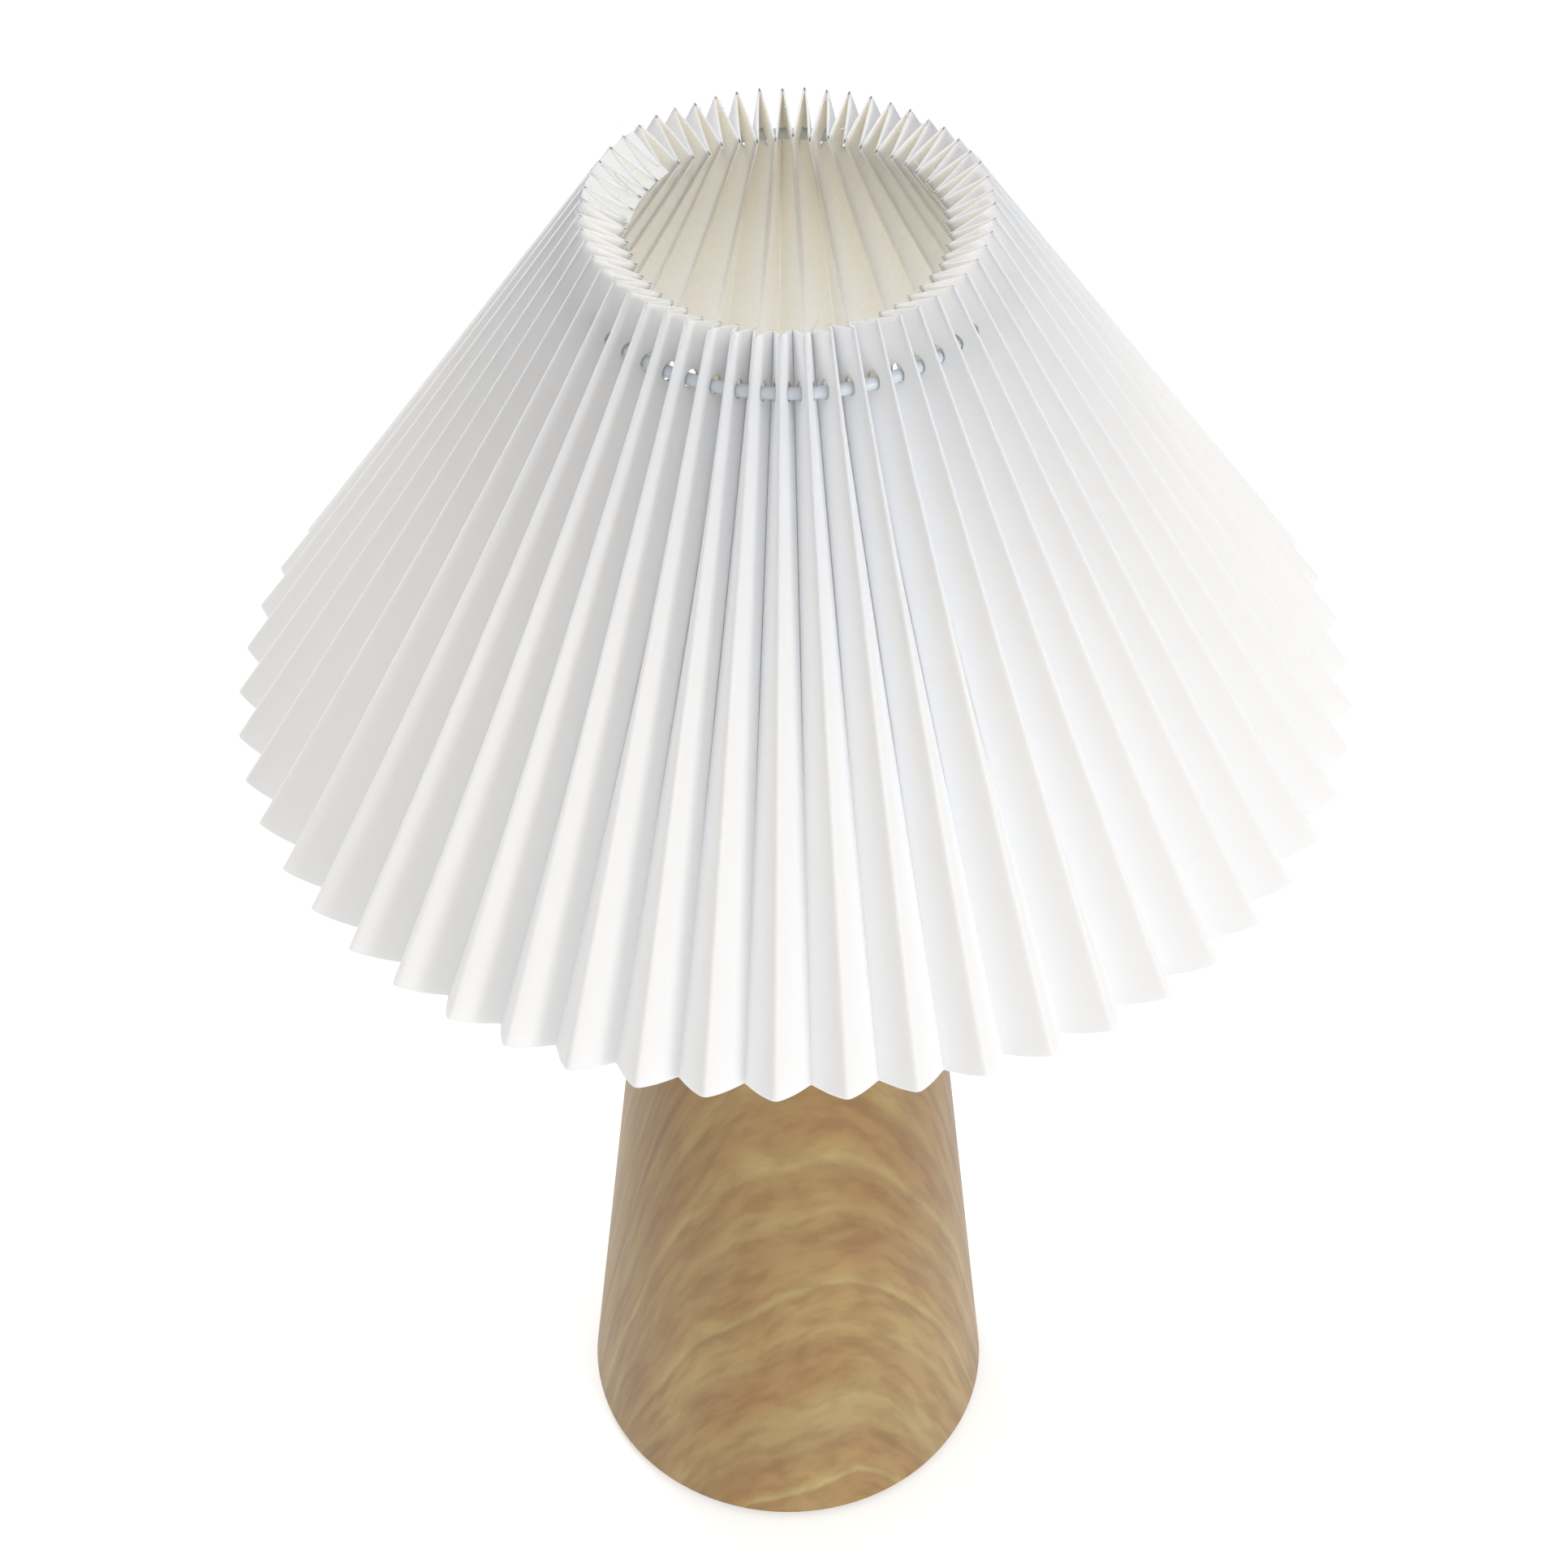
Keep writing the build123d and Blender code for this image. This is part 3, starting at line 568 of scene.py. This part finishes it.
ramp_stops(
    grain,
    (
        (0.0, "#C0AF79"),
        (0.10, "#C6B47D"),
        (0.24, "#A6885B"),
        (0.45, "#AE8E5E"),
        (0.80, "#B69662"),
        (1.0, "#BFA974"),
    ),
)
# each ring also has a tone of its own, which takes over from its bands in parts of the block
ring_tone = add_node(
    tree,
    "ShaderNodeTexNoise",
    {"W": rings.outputs[0], "Scale": 0.8, "Detail": 2.0},
    noise_dimensions="1D",
)
tone = add_node(tree, "ShaderNodeValToRGB", {"Fac": ring_tone.outputs["Fac"]})
ramp_stops(tone, ((0.3, "#A78A5B"), (0.5, "#B19461"), (0.7, "#BCA46E")))
faded = add_node(
    tree,
    "ShaderNodeMapRange",
    {
        "Value": width.outputs["Fac"],
        "From Min": 0.35,
        "From Max": 0.65,
        "To Min": 0.25,
        "To Max": 0.85,
    },
)
blended = add_node(
    tree,
    "ShaderNodeMix",
    {"Factor": faded.outputs["Result"], 6: grain.outputs["Color"], 7: tone.outputs["Color"]},
    data_type="RGBA",
)
patches = add_node(
    tree,
    "ShaderNodeTexNoise",
    {"Vector": long_grain.outputs["Vector"], "Scale": PATCH_SCALE, "Detail": 2.0},
)
pith_shade = add_node(
    tree,
    "ShaderNodeMapRange",
    {"Value": distance.outputs["Value"], "From Min": PITH_SHADE_FULL, "From Max": PITH_SHADE_GONE},
)
split = add_node(tree, "ShaderNodeSeparateXYZ", {"Vector": bent})
mark_axes = [
    add_node(tree, "ShaderNodeMath", {0: value, 1: 1 / length}, operation="MULTIPLY").outputs[0]
    for value, length in (
        (distance.outputs["Value"], MARK_ACROSS),
        (split.outputs["X"], MARK_ROUND),
        (split.outputs["Z"], MARK_UP),
    )
]
mark_place = add_node(tree, "ShaderNodeCombineXYZ", dict(zip("XYZ", mark_axes)))
marks = add_node(
    tree,
    "ShaderNodeTexNoise",
    {"Vector": mark_place.outputs[0], "Scale": 1.0, "Detail": 2.0, "Roughness": 0.5},
)
# wide patches are redder, painted shade darkens and greys the wood nearer the pith, towards the
# top, the left and the sides of the base, and brown marks lie along the rings
figure = blended.outputs[2]
for pattern, stops, share in (
    (patches.outputs["Fac"], ((0.35, "#EFE4DA"), (0.62, "#FFFFFF")), 1.0),
    (pith_shade.outputs["Result"], ((0.0, "#DEE0D6"), (0.45, "#E2DBD0"), (1.0, "#FFFFFF")), 1.0),
    (marks.outputs["Fac"], ((0.34, "#E0D4CA"), (0.60, "#FFFFFF")), MARK_STRENGTH),
):
    tint = add_node(tree, "ShaderNodeValToRGB", {"Fac": pattern})
    ramp_stops(tint, stops)
    figure = add_node(
        tree,
        "ShaderNodeMix",
        {"Factor": share, 6: figure, 7: tint.outputs["Color"]},
        data_type="RGBA",
        blend_type="MULTIPLY",
    ).outputs[2]
tree.links.new(figure, shader.inputs["Base Color"])
dress(wood, "wood_base")

# ---------------------------------------------------------------- felt pad and cable bush
# A disc of pressed wool felt is glued under the foot. The white bush in the rear of the base is
# moulded, and has the finish of the lampholder, which comes next.
FIBRE_SCALE = 1800.0

# Dark grey wool felt: dull, with a short nap of fibres.
felt, tree, shader = new_finish("pressed_wool_felt", Roughness=0.95)
place = add_node(tree, "ShaderNodeTexCoord")
fibres = add_node(
    tree,
    "ShaderNodeTexNoise",
    {"Vector": place.outputs["Object"], "Scale": FIBRE_SCALE, "Detail": 4.0},
)
grey = add_node(tree, "ShaderNodeValToRGB", {"Fac": fibres.outputs["Fac"]})
ramp_stops(grey, ((0.3, "#1E1E1F"), (0.7, "#3A3A3B")))
tree.links.new(grey.outputs["Color"], shader.inputs["Base Color"])
nap = add_node(
    tree, "ShaderNodeBump", {"Height": fibres.outputs["Fac"], "Strength": 0.5, "Distance": 0.2 * MM}
)
tree.links.new(nap.outputs["Normal"], shader.inputs["Normal"])
dress(felt, "felt_pad")

# ---------------------------------------------------------------- lampholder and collars
# The holder's cap, skirt and insert and its two collars are moulded in white thermoplastic. The
# shell, contact and screws are brass, and the holder stands on a threaded steel tube.

# Moulded white plastic: a fine satin skin from the mould.
plastic, tree, shader = new_finish(
    "moulded_white_plastic", Base_Color=linear("#E9E9E6"), IOR=1.5
)
uneven_skin(tree, shader, 0.5 * MM, (0.32, 0.46), 0.015 * MM)
dress(plastic, "holder_cap", "holder_skirt", "holder_insert", "lower_collar", "upper_collar")
dress(plastic, "cable_bush")

# Turned brass: warm yellow, brushed a little by the tool.
brass, tree, shader = new_finish("turned_brass", Metallic=1.0, Base_Color=linear("#D9B66A"))
uneven_skin(tree, shader, 0.8 * MM, (0.22, 0.4), 0.01 * MM)
dress(brass, "screw_shell", "centre_contact", "terminal_screws", "bulb_contact")
dress(brass, "upper_washer", "upper_nut")

# Zinc plated steel, and the bulb cap's nickel with it: a grey metal with a clouded gloss.
steel, tree, shader = new_finish("zinc_plated_steel", Metallic=1.0, Base_Color=linear("#C9CAC8"))
uneven_skin(tree, shader, 1.2 * MM, (0.26, 0.44), 0.01 * MM)
dress(steel, "threaded_tube", "lower_washer", "lower_nut", "cover_screws", "bulb_cap")

# Sheet steel painted black: nearly dull, with a slight orange peel.
cover, tree, shader = new_finish("black_sheet_steel", Base_Color=linear("#2C2C2D"))
uneven_skin(tree, shader, 0.9 * MM, (0.38, 0.55), 0.03 * MM)
dress(cover, "bottom_cover")

# ---------------------------------------------------------------- LED bulb
# An opal polycarbonate dome is snapped on a white moulded body, over the aluminium plate that
# carries the diodes. A black glass insulator closes the cap round its contact.

# Opal polycarbonate: white, dull, and softly lit through.
opal, tree, shader = new_finish(
    "opal_dome",
    Base_Color=linear("#F2F2EF"),
    Subsurface_Weight=0.4,
    Subsurface_Radius=(1.0, 0.95, 0.9),
    Subsurface_Scale=2 * MM,
)
uneven_skin(tree, shader, 0.6 * MM, (0.4, 0.5), 0.01 * MM)
dress(opal, "bulb_diffuser")

# Moulded white body: a clear gloss with long soft waves.
body_white, tree, shader = new_finish("glossy_white_moulding", Base_Color=linear("#ECECE9"))
uneven_skin(tree, shader, 6 * MM, (0.18, 0.27), 0.02 * MM)
dress(body_white, "bulb_body")

# Black glass, poured: a bright gloss.
glass, tree, shader = new_finish("black_glass", Base_Color=linear("#141416"))
uneven_skin(tree, shader, 4 * MM, (0.06, 0.14), 0.02 * MM)
dress(glass, "bulb_glass")

# Bare aluminium sheet: a pale metal with a soft gloss.
plate, tree, shader = new_finish(
    "bare_aluminium", Metallic=1.0, Base_Color=linear("#C8C9CB")
)
uneven_skin(tree, shader, 1.0 * MM, (0.22, 0.38), 0.01 * MM)
dress(plate, "led_plate")

# ---------------------------------------------------------------- floor and light
# A white table top in a white room, both plain white to the camera, with the lamp's soft shadow
# on the table. A broad window light comes from the front right, and a weaker light from high at
# the rear.
FLOOR_GLOW = 0.4
ROOM_LIGHT = 0.70
LAMP_WIDTH = 0.8
LAMP_DISTANCE = 2.4
SHADE_MIDDLE = Vector((0, 0, 0.28))
scene = bpy.context.scene
scene.view_settings.view_transform = "Standard"
scene.cycles.max_bounces = 16
scene.cycles.diffuse_bounces = 12


def seen_by(tree, first_ray, *more_rays):
    """Output that is 1 for these kinds of rays and 0 for all others."""
    path = add_node(tree, "ShaderNodeLightPath")
    seen = path.outputs[first_ray]
    for ray in more_rays:
        both = {0: seen, 1: path.outputs[ray]}
        seen = add_node(tree, "ShaderNodeMath", both, operation="MAXIMUM").outputs[0]
    return seen


def add_lamp(name, bearing, elevation, power):
    """Square soft light that faces the shade, at angles from the front in degrees."""
    turn, rise = np.radians((bearing, elevation))
    away = Vector((np.cos(rise) * np.sin(turn), -np.cos(rise) * np.cos(turn), np.sin(rise)))
    light = bpy.data.lights.new(name, "AREA")
    light.size = LAMP_WIDTH
    light.energy = power
    lamp = bpy.data.objects.new(name, light)
    lamp.location = SHADE_MIDDLE + LAMP_DISTANCE * away
    lamp.rotation_euler = away.to_track_quat("Z", "Y").to_euler()
    scene.collection.objects.link(lamp)


bpy.ops.mesh.primitive_plane_add(size=12, location=(0, 0, 0))
floor = bpy.context.object
floor.name = "table_top"

# White table top: dull, with a glow to the camera and in reflections that makes it plain white.
floor_white, tree, shader = new_finish(
    "white_table_top",
    Roughness=0.9,
    Base_Color=linear("#F5F5F5"),
    Emission_Color=linear("#FFFFFF"),
)
glow = add_node(
    tree,
    "ShaderNodeMath",
    {0: seen_by(tree, "Is Camera Ray", "Is Glossy Ray"), 1: FLOOR_GLOW},
    operation="MULTIPLY",
)
tree.links.new(glow.outputs[0], shader.inputs["Emission Strength"])
floor.data.materials.append(floor_white)

world = bpy.data.worlds.new("white_room")
scene.world = world
world.use_nodes = True
tree = world.node_tree
tree.nodes.clear()
in_view = seen_by(tree, "Is Camera Ray", "Is Glossy Ray", "Is Transmission Ray")
strength = add_node(
    tree, "ShaderNodeMapRange", {"Value": in_view, "To Min": ROOM_LIGHT, "To Max": 1.0}
)
sky = add_node(
    tree,
    "ShaderNodeBackground",
    {"Color": linear("#FFFFFF"), "Strength": strength.outputs["Result"]},
)
add_node(tree, "ShaderNodeOutputWorld", {"Surface": sky.outputs["Background"]})
add_lamp("window", 37, 15, 19.8)
add_lamp("ceiling_rear", -150, 45, 12.5)

# ---------------------------------------------------------------- camera
# The photograph's view: 46 degrees down from the front, 72 mm on a 36 mm frame, fitted to the
# ends of the folds and to the outline of the base.
CAMERA_PLACE = (-0.00706, -0.5109, 0.76666)
FOCAL_PIXELS = 3854
FRAME_PIXELS = 1932
PITCH = np.radians(46.07)
YAW = np.radians(0.68)
ROLL = np.radians(-0.08)
forward = np.array((np.sin(YAW) * np.cos(PITCH), np.cos(YAW) * np.cos(PITCH), -np.sin(PITCH)))
right = np.cross(forward, (0, 0, 1))
right = right / np.linalg.norm(right)
top = np.cross(right, forward)
rolled_right = np.cos(ROLL) * right + np.sin(ROLL) * top
rolled_top = np.cos(ROLL) * top - np.sin(ROLL) * right
lens = bpy.data.cameras.new("camera")
lens.sensor_width = 36.0
lens.lens = FOCAL_PIXELS / FRAME_PIXELS * lens.sensor_width
camera = bpy.data.objects.new("camera", lens)
turned = Matrix(np.stack((rolled_right, rolled_top, -forward), 1).tolist()).to_4x4()
camera.matrix_world = Matrix.Translation(CAMERA_PLACE) @ turned
scene.collection.objects.link(camera)
scene.camera = camera
